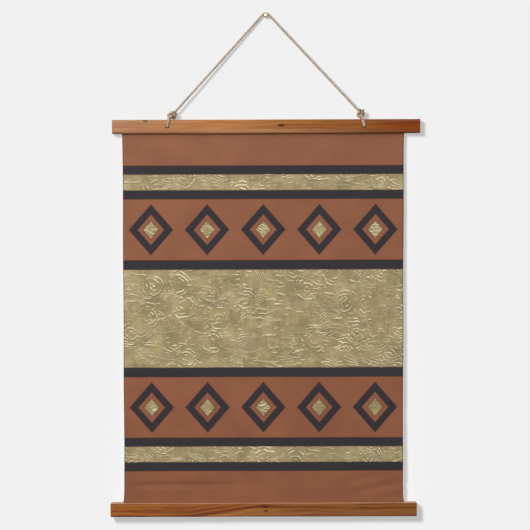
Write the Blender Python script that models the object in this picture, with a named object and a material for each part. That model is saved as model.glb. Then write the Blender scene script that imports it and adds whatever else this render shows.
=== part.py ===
"""Textile wall hanging: a printed canvas gripped between wooden slats, on a twine cord over a nail.

Metres, +Z up. The wall is the plane y = 0, the front faces -Y, and the origin is where the nail
enters the wall.
"""

import math

import bmesh
import bpy
from mathutils import Matrix, Vector

# Driving sizes, in metres
GAP = 0.0003  # kept between pieces that touch
BAR_LENGTH = 0.500
BAR_HEIGHT = 0.0224
SLAT_DEPTH = 0.006
SLAT_EASE = 0.0008  # rounding of a slat's long edges and ends
TOP_BAR_Z = -0.1807  # middle of the upper bar
LOWER_BAR_OFF_WALL = 0.008  # from the wall to the lower bar's back
LOWER_BAR_X = -0.0058  # the lower bar hangs a little to the left of the upper one
CLOTH_TOP_X = -0.0049  # the cloth is off centre in the upper bar and centred in the lower one
CLOTH_WIDTH = 0.4595
CLOTH_THICKNESS = 0.0012
CLOTH_DROP = 0.6022  # cloth that shows between the two bars
CLOTH_TUCK = 0.0184  # cloth gripped inside each bar
REBATE_ROOM = 0.0005  # left past the cloth's end and sides in the slats' rebate
NECKING_TOP = 0.0009  # each side edge draws in this much below the upper bar
NECKING_BOTTOM = 0.0021  # and this much above the lower one
NECKING_LENGTH = 0.008  # distance from a bar over which it does most of that
EDGE_WAVE = 0.00025
EDGE_WAVE_LENGTH = 0.21

# Twine: three plies, so a section has three ridges and three valleys
TWINE_RIDGE = 0.0017
TWINE_VALLEY = 0.00125
LOOP_RIDGE = 0.0018  # the loops through the bar are a little fuller
LOOP_VALLEY = 0.0014
PLIES = 3
PLY_PITCH = 0.011
STEPS_PER_TURN = 9

HOLE_RADIUS = 0.003
SHANK_RADIUS = 0.0011
HEAD_RADIUS = 0.0041
HEAD_HEIGHT = 0.0028
NAIL_DEPTH = 0.019  # how far the nail goes into the wall
NAIL_TIP = 0.004
NAIL_SIDES = 24

# Knots and their holes. lean is how far a loop moves sideways from its hole to the bar's top edge,
# spread a knot's width and height against a plain one's, turn its roll in degrees, tail its free end
# and neck where the cord meets it, both from its centre.
KNOTS = (
    {
        "name": "knot_left",
        "hole_x": -0.1602,
        "lean": 0.0024,
        "centre": (-0.1522, -0.0132, -0.1618),
        "spread": (1.12, 0.92),
        "turn": 35,
        "tail": (0.0092, -0.0025, 0.0022),
        "neck": 0.0085,
    },
    {
        "name": "knot_right",
        "hole_x": 0.1585,
        "lean": -0.0013,
        "centre": (0.1545, -0.0132, -0.1602),
        "spread": (0.86, 1.0),
        "turn": 78,
        "tail": (0.0064, -0.0020, 0.0066),
        "neck": 0.0080,
    },
)
LOBE = 0.00175  # a knot's turns follow a trefoil that is six of these across
LOBE_DEPTH = 0.0026  # deep enough that the turns pass clear of each other
LOBE_OPENING = 0.12  # radians of the trefoil left out inside the core, at each end
CORE_RADII = (0.0048, 0.0026, 0.0044)
SHOULDER = 0.9  # where a loop turns in over the bar's top edge, in strand clearances from that edge
EDGE_RISE = 1.5  # how high it then passes over the bar's face, in the same measure

# The cord's route over the nail, from the left knot to the right one
CORD_ROUTE = (
    (-0.1462, -0.0130, -0.1552),
    (-0.1250, -0.0119, -0.1317),
    (-0.1050, -0.0108, -0.1096),
    (-0.0850, -0.0097, -0.0875),
    (-0.0650, -0.0086, -0.0654),
    (-0.0450, -0.0075, -0.0433),
    (-0.0280, -0.0066, -0.0245),
    (-0.0150, -0.0060, -0.0102),
    (-0.0085, -0.0057, -0.0030),
    (-0.0050, -0.0055, 0.0009),
    (-0.0026, -0.0055, 0.0026),
    (0.0, -0.0055, 0.0031),
    (0.0026, -0.0055, 0.0026),
    (0.0050, -0.0055, 0.0009),
    (0.0085, -0.0057, -0.0029),
    (0.0150, -0.0060, -0.0099),
    (0.0280, -0.0066, -0.0239),
    (0.0450, -0.0075, -0.0421),
    (0.0650, -0.0086, -0.0637),
    (0.0850, -0.0096, -0.0852),
    (0.1050, -0.0107, -0.1067),
    (0.1250, -0.0118, -0.1283),
    (0.1489, -0.0130, -0.1540),
)

# Soft ripples in the cloth. x runs from -1 to 1 across it and s from 0 to 1 down it. reach is half
# a ripple's width, rise is towards the room.
RIPPLES = (
    {"x_from": -0.95, "s_from": 0.86, "x_to": -0.93, "s_to": 1.00, "reach": 0.012, "rise": 0.0009},
    {"x_from": -0.80, "s_from": 0.80, "x_to": -0.82, "s_to": 0.98, "reach": 0.016, "rise": -0.0007},
    {"x_from": -0.62, "s_from": 0.05, "x_to": -0.70, "s_to": 0.55, "reach": 0.045, "rise": 0.0011},
    {"x_from": -0.20, "s_from": 0.30, "x_to": -0.28, "s_to": 0.90, "reach": 0.050, "rise": -0.0008},
    {"x_from": 0.22, "s_from": 0.08, "x_to": 0.30, "s_to": 0.70, "reach": 0.045, "rise": 0.0010},
    {"x_from": 0.45, "s_from": 0.62, "x_to": 0.90, "s_to": 0.86, "reach": 0.022, "rise": 0.0009},
    {"x_from": 0.50, "s_from": 0.78, "x_to": 0.92, "s_to": 0.97, "reach": 0.020, "rise": -0.0008},
    {"x_from": 0.80, "s_from": 0.03, "x_to": 0.74, "s_to": 0.45, "reach": 0.040, "rise": -0.0008},
)
CLOTH_COLUMNS = 26
CLOTH_ROWS = 30
RIPPLE_FADE = 0.05  # ripples die out over this part of the drop at each bar

# Colour, roughness and metallic value of each material
FINISHES = {
    "canvas": ((0.29, 0.115, 0.065), 0.85, 0.0),
    "stained_wood": ((0.36, 0.15, 0.055), 0.55, 0.0),
    "jute": ((0.42, 0.31, 0.21), 0.95, 0.0),
    "brass": ((0.66, 0.48, 0.22), 0.35, 1.0),
}

# Worked out from the sizes above
BOTTOM_BAR_Z = TOP_BAR_Z - BAR_HEIGHT - CLOTH_DROP
BAR_DEPTH = 2 * SLAT_DEPTH + GAP
REBATE_DEPTH = CLOTH_THICKNESS + GAP
REBATE_HEIGHT = CLOTH_TUCK + REBATE_ROOM
TOP_BACK_Y = -2 * (LOOP_RIDGE + GAP)  # the upper bar stands off the wall on its loops
BOTTOM_BACK_Y = -LOWER_BAR_OFF_WALL
TOP_FRONT_Y = TOP_BACK_Y - BAR_DEPTH
CLOTH_IN_BAR = SLAT_DEPTH - REBATE_DEPTH + GAP + CLOTH_THICKNESS / 2


def clear_scene():
    for old in list(bpy.data.objects):
        bpy.data.objects.remove(old)


def material(name):
    colour, roughness, metallic = FINISHES[name]
    made = bpy.data.materials.new(name)
    made.use_nodes = True
    shader = made.node_tree.nodes["Principled BSDF"]
    shader.inputs["Base Color"].default_value = (*colour, 1)
    shader.inputs["Roughness"].default_value = roughness
    shader.inputs["Metallic"].default_value = metallic
    return made


def add_object(name, bm, finish, helper=False):
    """The mesh as an object. A helper only shapes other pieces, so it isn't rendered."""
    bmesh.ops.recalc_face_normals(bm, faces=bm.faces)
    mesh = bpy.data.meshes.new(name)
    bm.to_mesh(mesh)
    bm.free()
    obj = bpy.data.objects.new(name, mesh)
    bpy.context.scene.collection.objects.link(obj)
    if helper:
        obj.hide_render = True
        obj.display_type = "WIRE"
    else:
        mesh.materials.append(material(finish))
    return obj


def cut(obj, cutter):
    modifier = obj.modifiers.new(cutter.name, "BOOLEAN")
    modifier.operation = "DIFFERENCE"
    modifier.object = cutter


def join(obj, other):
    """A union of round strands, which only the manifold solver makes the same on each run."""
    modifier = obj.modifiers.new(other.name, "BOOLEAN")
    modifier.operation = "UNION"
    modifier.solver = "MANIFOLD"
    modifier.object = other


def box(bm, size, centre):
    bmesh.ops.create_cube(bm, size=1, matrix=Matrix.Translation(centre) @ Matrix.Diagonal((*size, 1)))


def smooth_step(x):
    x = min(max(x, 0.0), 1.0)
    return x * x * (3 - 2 * x)


def curve_point(a, b, c, d, t):
    """A point between b and c, t of the way, on the Catmull-Rom curve through a, b, c and d."""
    straight = 2 * b + (c - a) * t
    bend = (2 * a - 5 * b + 4 * c - d) * t**2
    turn = (3 * b - a - 3 * c + d) * t**3
    return 0.5 * (straight + bend + turn)


def smooth_route(points, step):
    """Points about step apart on the Catmull-Rom curve through the given ones."""
    points = [Vector(p) for p in points]
    ends = [2 * points[0] - points[1], *points, 2 * points[-1] - points[-2]]
    fine = [points[0]]
    for a, b, c, d in zip(ends, ends[1:], ends[2:], ends[3:]):
        parts = max(4, math.ceil((c - b).length / step * 4))
        fine += [curve_point(a, b, c, d, (i + 1) / parts) for i in range(parts)]
    along = [0.0]
    for a, b in zip(fine, fine[1:]):
        along.append(along[-1] + (b - a).length)
    count = max(2, round(along[-1] / step))
    spaced, at = [], 0
    for i in range(count + 1):
        wanted = along[-1] * i / count
        while at < len(fine) - 2 and along[at + 1] < wanted:
            at += 1
        share = (wanted - along[at]) / (along[at + 1] - along[at])
        spaced.append(fine[at].lerp(fine[at + 1], share))
    return spaced


def twine(name, points, ridge, valley, helper=False):
    """A capped tube along the points, with a twisted section of ridges and valleys."""
    route = smooth_route(points, PLY_PITCH / STEPS_PER_TURN)
    bm = bmesh.new()
    rings = []
    side = (route[1] - route[0]).orthogonal().normalized()
    for i, centre in enumerate(route):
        ahead = (route[min(i + 1, len(route) - 1)] - route[max(i - 1, 0)]).normalized()
        side = (side - side.dot(ahead) * ahead).normalized()
        up = ahead.cross(side)
        twist = 2 * math.pi * i / STEPS_PER_TURN
        ring = []
        for k in range(2 * PLIES):
            angle = twist + math.pi * k / PLIES
            reach = valley if k % 2 else ridge
            ring.append(bm.verts.new(centre + reach * (math.cos(angle) * side + math.sin(angle) * up)))
        rings.append(ring)
    for low, high in zip(rings, rings[1:]):
        for k in range(2 * PLIES):
            after = (k + 1) % (2 * PLIES)
            bm.faces.new((low[k], low[after], high[after], high[k]))
    bm.faces.new(rings[0])
    bm.faces.new(rings[-1])
    obj = add_object(name, bm, "jute", helper)
    obj.data.shade_smooth()
    return obj


def slat(name, centre_x, front_y, centre_z):
    """One eased slat, whose front face is at front_y."""
    bm = bmesh.new()
    box(bm, (BAR_LENGTH, SLAT_DEPTH, BAR_HEIGHT), (0, 0, 0))
    obj = add_object(name, bm, "stained_wood")
    obj.location = (centre_x, front_y + SLAT_DEPTH / 2, centre_z)
    ease = obj.modifiers.new("ease", "BEVEL")
    ease.width = SLAT_EASE
    ease.segments = 2
    return obj


def rebate_cutter(name, centre_x, back_y, centre_z, mouth):
    """Room for the cloth in a back slat's front face. mouth is -1 where it opens downwards, or 1."""
    over = 0.001
    face_y = back_y - SLAT_DEPTH
    mouth_z = centre_z + mouth * (BAR_HEIGHT / 2 + over)
    bm = bmesh.new()
    box(
        bm,
        (CLOTH_WIDTH + 2 * REBATE_ROOM, REBATE_DEPTH + over, REBATE_HEIGHT + over),
        (centre_x, face_y + (REBATE_DEPTH - over) / 2, mouth_z - mouth * (REBATE_HEIGHT + over) / 2),
    )
    return add_object(name, bm, None, helper=True)


def hole_cutter(knot):
    """A straight cord hole from the front of the upper bar to its back."""
    bm = bmesh.new()
    bmesh.ops.create_cone(
        bm,
        cap_ends=True,
        segments=20,
        radius1=HOLE_RADIUS,
        radius2=HOLE_RADIUS,
        depth=2 * BAR_DEPTH,
        matrix=Matrix.Translation((knot["hole_x"], TOP_BACK_Y - BAR_DEPTH / 2, TOP_BAR_Z))
        @ Matrix.Rotation(math.pi / 2, 4, "X"),
    )
    return add_object(knot["name"] + "_hole", bm, None, helper=True)


def ripple(across, down):
    """How far the cloth stands towards the room, at -1 to 1 across and 0 to 1 down."""
    total = 0.0
    here = Vector((across * CLOTH_WIDTH / 2, down * CLOTH_DROP))
    for fold in RIPPLES:
        start = Vector((fold["x_from"] * CLOTH_WIDTH / 2, fold["s_from"] * CLOTH_DROP))
        end = Vector((fold["x_to"] * CLOTH_WIDTH / 2, fold["s_to"] * CLOTH_DROP))
        line = end - start
        along = (here - start).dot(line) / line.length_squared
        nearest = start + min(max(along, 0), 1) * line
        total += fold["rise"] * math.exp(-(((here - nearest).length / fold["reach"]) ** 2))
    return total * smooth_step(down / RIPPLE_FADE) * smooth_step((1 - down) / RIPPLE_FADE)


def draw_in(from_top, phase):
    """How far a side edge lies inside the full width, at a distance below the upper bar."""
    nearest_bar = max(0.0, min(from_top, CLOTH_DROP - from_top))
    necking = NECKING_TOP + (NECKING_BOTTOM - NECKING_TOP) * from_top / CLOTH_DROP
    wave = EDGE_WAVE * math.sin(2 * math.pi * from_top / EDGE_WAVE_LENGTH + phase)
    return (necking + wave) * (1 - math.exp(-nearest_bar / NECKING_LENGTH))


def crowd_ends(share):
    """Moves evenly spaced shares towards 0 and 1, where the cloth's outline bends most."""
    return 0.5 - 0.5 * math.cos(math.pi * share)


def cloth_panel():
    """The canvas: a sheet on a grid that is finer near its edges, thickened on both sides."""
    drop_top = TOP_BAR_Z - BAR_HEIGHT / 2
    top_y = TOP_BACK_Y - CLOTH_IN_BAR
    bottom_y = BOTTOM_BACK_Y - CLOTH_IN_BAR
    tuck_steps = 2
    distances = [CLOTH_TUCK * (i / tuck_steps - 1) for i in range(tuck_steps)]
    distances += [CLOTH_DROP * crowd_ends(i / CLOTH_ROWS) for i in range(CLOTH_ROWS + 1)]
    distances += [CLOTH_DROP + CLOTH_TUCK * (i + 1) / tuck_steps for i in range(tuck_steps)]
    bm = bmesh.new()
    rows = []
    for distance in distances:
        share = distance / CLOTH_DROP
        hang_y = top_y + (bottom_y - top_y) * smooth_step(share)
        middle = CLOTH_TOP_X + (LOWER_BAR_X - CLOTH_TOP_X) * min(max(share, 0), 1)
        left = middle - CLOTH_WIDTH / 2 + draw_in(distance, -1)
        right = middle + CLOTH_WIDTH / 2 - draw_in(distance, 1)
        row = []
        for i in range(CLOTH_COLUMNS + 1):
            across = crowd_ends(i / CLOTH_COLUMNS)
            y = hang_y - ripple(2 * across - 1, share)
            row.append(bm.verts.new((left + (right - left) * across, y, drop_top - distance)))
        rows.append(row)
    for upper, lower in zip(rows, rows[1:]):
        for i in range(CLOTH_COLUMNS):
            bm.faces.new((upper[i], lower[i], lower[i + 1], upper[i + 1]))
    obj = add_object("cloth_panel", bm, "canvas")
    obj.data.shade_smooth()
    thick = obj.modifiers.new("thickness", "SOLIDIFY")
    thick.thickness = CLOTH_THICKNESS
    thick.offset = 0
    return obj


def loop_route(knot):
    """The twine's way from the knot down the bar's front, through the hole and up its back."""
    centre = Vector(knot["centre"])
    top_z = TOP_BAR_Z + BAR_HEIGHT / 2
    clear = LOOP_RIDGE + GAP
    hole_z = TOP_BAR_Z + HOLE_RADIUS - clear
    rim_z = TOP_BAR_Z + HOLE_RADIUS
    corner = clear * math.sqrt(0.5)
    edge_x = knot["hole_x"] + knot["lean"]

    def one_side(face_y, away):
        """From the hole's mouth in one face up past the bar's top edge and in to the knot."""
        shoulder_y = face_y + away * clear
        over_edge = Vector((edge_x, face_y, top_z + EDGE_RISE * clear))
        return [
            Vector((knot["hole_x"], face_y, hole_z)),
            Vector((knot["hole_x"], face_y + away * corner, rim_z - corner)),
            Vector((knot["hole_x"], shoulder_y, rim_z)),
            Vector((knot["hole_x"] + knot["lean"] / 2, shoulder_y, (rim_z + top_z) / 2)),
            Vector((edge_x, shoulder_y, top_z)),
            Vector((edge_x, face_y + away * SHOULDER * clear, top_z + SHOULDER * clear)),
            over_edge.lerp(centre, 0.15),
            over_edge.lerp(centre, 0.6),
            centre,
        ]

    front = one_side(TOP_FRONT_Y, -1)
    back = one_side(TOP_BACK_Y, 1)
    return front[::-1] + back


def knot_turns(knot):
    """The knot's own turns: a trefoil seen from the front, open inside the knot's core."""
    centre = Vector(knot["centre"])
    wide, high = knot["spread"]
    turn = Matrix.Rotation(math.radians(knot["turn"]), 2)
    steps = 24
    points = []
    for i in range(steps + 1):
        t = LOBE_OPENING + (2 * math.pi - 2 * LOBE_OPENING) * i / steps
        flat = turn @ Vector((math.sin(t) + 2 * math.sin(2 * t), math.cos(t) - 2 * math.cos(2 * t)))
        offset = Vector((flat.x * LOBE * wide, LOBE_DEPTH * math.sin(3 * t), flat.y * LOBE * high))
        points.append(centre + offset)
    return points


def tied_knot(knot, cord_end):
    """A knot with its loop, its tail and the neck that the cord leaves from, made one solid."""
    centre = Vector(knot["centre"])
    neck = knot["neck"] * (Vector(cord_end) - centre).normalized()
    tail = Vector(knot["tail"])
    bm = bmesh.new()
    bmesh.ops.create_uvsphere(
        bm,
        u_segments=14,
        v_segments=8,
        radius=1,
        matrix=Matrix.Translation(centre) @ Matrix.Diagonal((*CORE_RADII, 1)),
    )
    body = add_object(knot["name"], bm, "jute")
    body.data.shade_smooth()
    # The loop's last stretch into the core is a strand of its own, so that no strand crosses itself
    loop = loop_route(knot)
    over_back_edge = loop[-3].lerp(loop[-4], 0.3)
    strands = {
        "loop": (loop[:-2], LOOP_RIDGE, LOOP_VALLEY),
        "loop_end": ([over_back_edge, *loop[-2:]], LOOP_RIDGE, LOOP_VALLEY),
        "turns": (knot_turns(knot), TWINE_RIDGE, TWINE_VALLEY),
        "neck": ([centre, centre + neck / 2, centre + neck], LOOP_RIDGE, LOOP_VALLEY),
        "tail": ([centre, centre + tail / 2, centre + tail], TWINE_RIDGE, TWINE_VALLEY),
    }
    for part, (points, ridge, valley) in strands.items():
        join(body, twine(f"{knot['name']}_{part}", points, ridge, valley, helper=True))
    return body


def wall_nail():
    """A nail with a domed head, turned about the Y axis."""
    under_head = CORD_ROUTE[len(CORD_ROUTE) // 2][1] - TWINE_RIDGE - GAP
    rim = 0.0005
    dome_steps = 4
    profile = [(0, NAIL_DEPTH), (SHANK_RADIUS, NAIL_DEPTH - NAIL_TIP), (SHANK_RADIUS, under_head)]
    profile.append((HEAD_RADIUS, under_head))
    for i in range(dome_steps):
        angle = math.pi / 2 * i / dome_steps
        height = (HEAD_HEIGHT - rim) * math.sin(angle)
        profile.append((HEAD_RADIUS * math.cos(angle), under_head - rim - height))
    profile.append((0, under_head - HEAD_HEIGHT))
    bm = bmesh.new()
    rings = []
    for radius, y in profile:
        count = 1 if radius == 0 else NAIL_SIDES
        angles = [2 * math.pi * k / NAIL_SIDES for k in range(count)]
        rings.append([bm.verts.new((radius * math.cos(a), y, radius * math.sin(a))) for a in angles])
    for first, second in zip(rings, rings[1:]):
        for k in range(NAIL_SIDES):
            after = (k + 1) % NAIL_SIDES
            corners = [first[k % len(first)], first[after % len(first)]]
            corners += [second[after % len(second)], second[k % len(second)]]
            bm.faces.new(dict.fromkeys(corners))
    obj = add_object("wall_nail", bm, "brass")
    obj.data.shade_smooth()
    obj.data.set_sharp_from_angle(angle=math.radians(40))
    return obj


def build():
    clear_scene()
    top_front = slat("top_front_slat", 0, TOP_FRONT_Y, TOP_BAR_Z)
    top_back = slat("top_back_slat", 0, TOP_BACK_Y - SLAT_DEPTH, TOP_BAR_Z)
    slat("bottom_front_slat", LOWER_BAR_X, BOTTOM_BACK_Y - BAR_DEPTH, BOTTOM_BAR_Z)
    bottom_back = slat("bottom_back_slat", LOWER_BAR_X, BOTTOM_BACK_Y - SLAT_DEPTH, BOTTOM_BAR_Z)
    cut(top_back, rebate_cutter("top_rebate", CLOTH_TOP_X, TOP_BACK_Y, TOP_BAR_Z, -1))
    cut(bottom_back, rebate_cutter("bottom_rebate", LOWER_BAR_X, BOTTOM_BACK_Y, BOTTOM_BAR_Z, 1))
    cloth = cloth_panel()
    for knot, cord_end in zip(KNOTS, (CORD_ROUTE[0], CORD_ROUTE[-1])):
        hole = hole_cutter(knot)
        for pierced in (top_front, top_back, cloth):
            cut(pierced, hole)
        tied_knot(knot, cord_end)
    twine("hanging_cord", CORD_ROUTE, TWINE_RIDGE, TWINE_VALLEY)
    wall_nail()


build()
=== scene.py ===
"""Looks of the textile wall hanging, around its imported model.

Metres, +Z up. The wall is the plane y = 0, the front faces -Y, and the origin is where the nail
enters the wall.
"""

import itertools
import math
import random

import bmesh
import bpy
import numpy as np
from mathutils import Matrix, Vector, noise
from mathutils.bvhtree import BVHTree


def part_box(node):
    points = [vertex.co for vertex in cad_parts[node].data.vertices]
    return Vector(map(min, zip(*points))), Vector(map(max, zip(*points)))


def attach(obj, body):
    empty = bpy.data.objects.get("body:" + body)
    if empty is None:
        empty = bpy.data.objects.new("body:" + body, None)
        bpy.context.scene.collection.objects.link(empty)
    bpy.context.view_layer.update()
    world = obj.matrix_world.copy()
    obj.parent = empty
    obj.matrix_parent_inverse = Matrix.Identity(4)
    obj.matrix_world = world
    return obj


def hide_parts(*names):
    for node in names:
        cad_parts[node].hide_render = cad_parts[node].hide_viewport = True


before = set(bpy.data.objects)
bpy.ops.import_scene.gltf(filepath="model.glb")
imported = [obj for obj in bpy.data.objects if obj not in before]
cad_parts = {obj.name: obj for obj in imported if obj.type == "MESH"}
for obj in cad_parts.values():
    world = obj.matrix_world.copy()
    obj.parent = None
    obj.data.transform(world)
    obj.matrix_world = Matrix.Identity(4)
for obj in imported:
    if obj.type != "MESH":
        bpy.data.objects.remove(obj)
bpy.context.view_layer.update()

# Camera, in the photograph's square frame
LENS = 85
SENSOR = 36
CAMERA_AT = (-0.0015, -2.0503, -0.3489)
CAMERA_PITCH = -1.596  # degrees
CAMERA_ROLL = 0.171
CAMERA_YAW = 0.026

# Stage and light
WALL_Y = 0.0002
FLOOR_Z = -1.35
STAGE_REACH = 4.0
KEY_AT = (-0.70, -1.52, 0.27)
KEY_SIZE = 0.42
KEY_POWER = 12.4
WALL_TONE = 0.888  # how bright the wall shows
KEY_SHARE = 0.44  # of the wall's brightness that comes from the key light
WALL_KEY = 4.0  # the wall's own copy of the key light is this much stronger, and its paint darker
KEY_ON_WALL = 1.39  # brightness which that copy gives white paint at the wall's middle
GLOW_LOST = 0.93  # of the wall's glow, right behind the upper bar
WORLD_TONE = 0.75  # what the camera and reflections see beyond the stage
FLOOR_GLOW = 0.30  # lifts the floor to about the wall's tone
FILLS = (
    {"name": "front_fill", "towards": (0.10, 1.0, -0.35), "strength": 1.88},
    {"name": "back_fill", "towards": (-0.30, -1.0, -0.45), "strength": 2.0},
    {"name": "side_fill", "towards": (-1.0, 0.1, -0.20), "strength": 0.3},
)
FILL_ANGLE = 100  # degrees across, for soft shadows

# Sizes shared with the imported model
GAP = 0.0003
BAR_HEIGHT = 0.0224
SLAT_DEPTH = 0.006
TOP_BAR_Z = -0.1807
TOP_BACK_Y = -0.0042
TOP_FRONT_Y = -0.0165
LOWER_BAR_X = -0.0058
CLOTH_TOP_X = -0.0049
CLOTH_WIDTH = 0.4595
CLOTH_DROP = 0.6022
CLOTH_TUCK = 0.0184
NECKING_TOP = 0.0009
NECKING_BOTTOM = 0.0021
NECKING_LENGTH = 0.008
EDGE_WAVE = 0.00025
EDGE_WAVE_LENGTH = 0.21
TWINE_RADIUS = 0.0017
LOOP_RADIUS = 0.0021  # the twine is looser in the loops and knots than in the cord
KNOT_RADIUS = 0.0022
HOLE_RADIUS = 0.003
SHANK_RADIUS = 0.0011
HEAD_RADIUS = 0.0041
HEAD_HEIGHT = 0.0028
NAIL_DEPTH = 0.019
NAIL_TIP = 0.004
KNOTS = (
    {
        "name": "knot_left",
        "hole_x": -0.1602,
        "lean": 0.0024,
        "centre": (-0.1522, -0.0132, -0.1618),
        "spread": (1.30, 1.06),
        "turn": 35,
        "tail": (0.0092, -0.0025, 0.0022),
        "neck": 0.0085,
        "shade_way": (0.8, -0.6),
        "loop_width": 1.2,
    },
    {
        "name": "knot_right",
        "hole_x": 0.1585,
        "lean": -0.0028,
        "centre": (0.1532, -0.0132, -0.1602),
        "spread": (1.0, 1.12),
        "turn": 78,
        "tail": (0.0064, -0.0020, 0.0066),
        "neck": 0.0080,
        "shade_way": (0.5, 0.8),
        "loop_width": 1.5,
    },
)
LOBE = 0.00175  # size of the trefoil that a knot's turns follow, and how deep it is
LOBE_DEPTH = 0.0026
SHOULDER = 0.9  # how square a loop bends over the bar's edge
EDGE_RISE = 1.5  # how far over the edge it runs in to the knot, in clear radii
CORD_ROUTE = (
    (-0.1462, -0.0130, -0.1552),
    (-0.1250, -0.0119, -0.1317),
    (-0.1050, -0.0108, -0.1096),
    (-0.0850, -0.0097, -0.0875),
    (-0.0650, -0.0086, -0.0654),
    (-0.0450, -0.0075, -0.0433),
    (-0.0280, -0.0066, -0.0245),
    (-0.0150, -0.0060, -0.0102),
    (-0.0085, -0.0057, -0.0030),
    (-0.0050, -0.0055, 0.0009),
    (-0.0026, -0.0055, 0.0026),
    (0.0, -0.0055, 0.0031),
    (0.0026, -0.0055, 0.0026),
    (0.0050, -0.0055, 0.0009),
    (0.0085, -0.0057, -0.0029),
    (0.0150, -0.0060, -0.0099),
    (0.0280, -0.0066, -0.0239),
    (0.0450, -0.0075, -0.0421),
    (0.0650, -0.0086, -0.0637),
    (0.0850, -0.0096, -0.0852),
    (0.1050, -0.0107, -0.1067),
    (0.1250, -0.0118, -0.1283),
    (0.1489, -0.0130, -0.1540),
)

# Twine: three plies laid round each other
PLIES = 3
PLY_SHARE = 0.49  # a ply's radius against the twine's
PLY_PITCH = 0.0092
PLY_SIDES = 8
STEPS_PER_TURN = 18
PLY_LUMPS = 0.10  # how much a ply swells and thins
LUMP_RATE = 0.11  # how fast it does so, for each step along it
# Loose fibres: how many at each place and the longest one's length
FUZZ_RADIUS = 0.00008
FUZZ_STEPS = 5
FUZZ_SIDES = 3
KNOT_HAIRS = (200, 0.0040)
LOOP_HAIRS = (90, 0.0024)
TAIL_HAIRS = (90, 0.0042)
CORD_HAIRS = (2600, 0.0050)
CREASE_SHADE_REACH = 0.003  # how near another strand must be to paint shade on a point
KNOT_SIDE_SHADE = 0.40  # how much painted shade darkens a knot's shaded side
KNOT_SIDE_SHADE_REACH = 0.0045

# Canvas sheet
CLOTH_THICKNESS = 0.0008
CLOTH_COLUMNS = 150
CLOTH_ROWS = 240
TUCK_ROWS = 7
PIERCED_RADIUS = 0.0021  # where the twine goes through the canvas inside the upper bar
PROBE_SHARE = 0.997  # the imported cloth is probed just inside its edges
PROBE_INSET = 0.0005
SMOOTHING_ROUNDS = 6
FLAT_BY_BAR = 0.03  # the cloth's unevenness fades out over this length
FOLDS_FROM = 0.004  # no fold starts nearer the lower bar
DENT_DEPTH = 0.0024
RIPPLE_DEPTH = 0.0012
RIPPLE_LENGTH = 0.024

# Rebates in the back slats
REBATE_DEPTH = 0.0015
REBATE_CLEARANCE = 0.0005

TOP_CLOTH_Z = TOP_BAR_Z - BAR_HEIGHT / 2
BOTTOM_BAR_Z = TOP_CLOTH_Z - CLOTH_DROP - BAR_HEIGHT / 2


def operator(operation, turned=False):
    """A method of Field that adds a math node."""

    def method(self, *others):
        values = (*others, self) if turned else (self, *others)
        return self.nodes.math(operation, *values)

    return method


class Field:
    """A node's output, a number or a vector. Arithmetic on it adds the math nodes."""

    __add__ = operator("ADD")
    __radd__ = operator("ADD", turned=True)
    __sub__ = operator("SUBTRACT")
    __rsub__ = operator("SUBTRACT", turned=True)
    __mul__ = operator("MULTIPLY")
    __truediv__ = operator("DIVIDE")
    __rtruediv__ = operator("DIVIDE", turned=True)
    __abs__ = operator("ABSOLUTE")
    larger = operator("MAXIMUM")
    sine = operator("SINE")
    length = operator("LENGTH")

    def __init__(self, nodes, socket):
        self.nodes = nodes
        self.socket = socket

    def spread(self, low, high, to_low, to_high, **settings):
        """The field moved from one range to another, held inside it."""
        fed = dict(enumerate((self, low, high, to_low, to_high)))
        return self.nodes.make("ShaderNodeMapRange", fed, **settings)

    def step(self, low, high, most=1.0):
        """0 below low, most above high and a smooth step between them. Low may be the larger one."""
        return self.spread(low, high, 0.0, most, interpolation_type="SMOOTHSTEP")


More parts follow.
